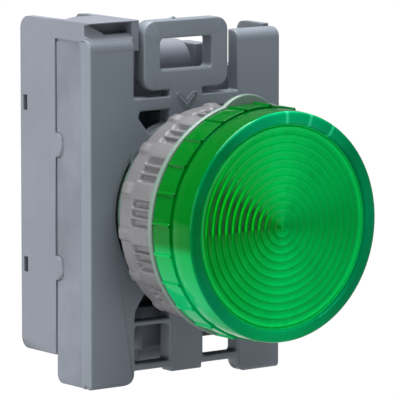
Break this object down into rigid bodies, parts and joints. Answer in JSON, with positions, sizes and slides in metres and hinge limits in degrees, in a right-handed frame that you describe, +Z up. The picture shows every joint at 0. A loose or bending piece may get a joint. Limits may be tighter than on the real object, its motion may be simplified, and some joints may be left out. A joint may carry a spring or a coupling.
{
  "type": "panel pilot light",
  "caption": "Green panel pilot light with ribbed lens cap, ring nut, clip-on grey adapter and screw-terminal lamp block.",
  "frame": {"origin": "centre of the gasket's rear face, where it seats on the panel, on the lamp axis", "axes": "+Y back through the panel, lens faces -Y, +Z up, +X to the right seen from the front"},
  "size_m": [0.03, 0.0361, 0.0468],
  "materials": {
    "green_lens": "translucent ribbed",
    "black_rubber": "matt",
    "head_plastic": "moulded",
    "washer_metal": "satin",
    "nut_plastic": "moulded",
    "adapter_grey": "fine textured",
    "frame_grey": "moulded",
    "block_grey": "moulded",
    "cover_grey": "moulded",
    "brass": "bright",
    "cream_plastic": "moulded",
    "spring_steel": "drawn",
    "nickel": "nickel plated",
    "dark_glass": "smooth",
    "solder": "cast",
    "clear_glass": "clear",
    "board": "solder mask",
    "chip": "phosphor",
    "screw_steel": "zinc plated",
    "clamp_steel": "zinc plated"
  },
  "bodies": {
    "base": {"head_body": "head_plastic", "panel_gasket": "black_rubber", "adapter_plate": "adapter_grey", "adapter_frame": "frame_grey", "block_housing": "block_grey", "block_cover": "cover_grey", "lampholder_shell": "brass", "holder_insulator": "cream_plastic", "contact_spring": "spring_steel", "shell_strip": "brass", "contact_strip": "brass"},
    "lens_seat": {"lens_seal": "black_rubber"},
    "lens": {"lens_cap": "green_lens"},
    "washer": {"thrust_washer": "washer_metal"},
    "nut": {"ring_nut": "nut_plastic"},
    "button": {"contact_button": "brass"},
    "lamp": {"lamp_base": "nickel", "lamp_insulator": "dark_glass", "lamp_contact": "solder", "lamp_envelope": "clear_glass", "led_carrier": "board", "led_chip_a": "chip", "led_chip_b": "chip", "led_chip_c": "chip", "led_chip_d": "chip"},
    "clamp_top": {"clamp_plate_top": "clamp_steel"},
    "screw_top": {"terminal_screw_top": "screw_steel"},
    "clamp_bottom": {"clamp_plate_bottom": "clamp_steel"},
    "screw_bottom": {"terminal_screw_bottom": "screw_steel"}
  },
  "joints": [
    {"name": "lens_rise", "type": "slide", "parent": "base", "child": "lens_seat", "axis": [0, -1, 0], "range_m": [0, 0.003]},
    {"name": "lens_turn", "type": "hinge", "parent": "lens_seat", "child": "lens", "pos_m": [0, 0, 0], "axis": [0, -1, 0], "range_deg": [0, 720]},
    {"name": "nut_travel", "type": "slide", "parent": "base", "child": "washer", "axis": [0, 1, 0], "range_m": [0, 0.004]},
    {"name": "nut_turn", "type": "hinge", "parent": "washer", "child": "nut", "pos_m": [0, 0, 0], "axis": [0, 1, 0], "range_deg": [0, 960]},
    {"name": "button_press", "type": "slide", "parent": "base", "child": "button", "axis": [0, 1, 0], "range_m": [0, 0.0012], "deforming": ["contact_spring"]},
    {"name": "lamp_turn", "type": "hinge", "parent": "button", "child": "lamp", "pos_m": [0, 0, 0], "axis": [0, 1, 0], "range_deg": [-30, 0]},
    {"name": "clamp_top_travel", "type": "slide", "parent": "base", "child": "clamp_top", "axis": [0, -1, 0], "range_m": [0, 0.002]},
    {"name": "screw_top_turn", "type": "hinge", "parent": "clamp_top", "child": "screw_top", "pos_m": [-0.0109, 0.024, 0.0186], "axis": [0, -1, 0], "range_deg": [0, 1200]},
    {"name": "clamp_bottom_travel", "type": "slide", "parent": "base", "child": "clamp_bottom", "axis": [0, -1, 0], "range_m": [0, 0.002]},
    {"name": "screw_bottom_turn", "type": "hinge", "parent": "clamp_bottom", "child": "screw_bottom", "pos_m": [-0.0109, 0.024, -0.0136], "axis": [0, -1, 0], "range_deg": [0, 1200]}
  ],
  "couplings": [
    {"joint": "lens_turn", "follows": "lens_rise", "rad_per_m": 4188.8},
    {"joint": "nut_turn", "follows": "nut_travel", "rad_per_m": 4188.8},
    {"joint": "lamp_turn", "follows": "button_press", "rad_per_m": -436.33},
    {"joint": "screw_top_turn", "follows": "clamp_top_travel", "rad_per_m": 10472},
    {"joint": "screw_bottom_turn", "follows": "clamp_bottom_travel", "rad_per_m": 10472}
  ]
}
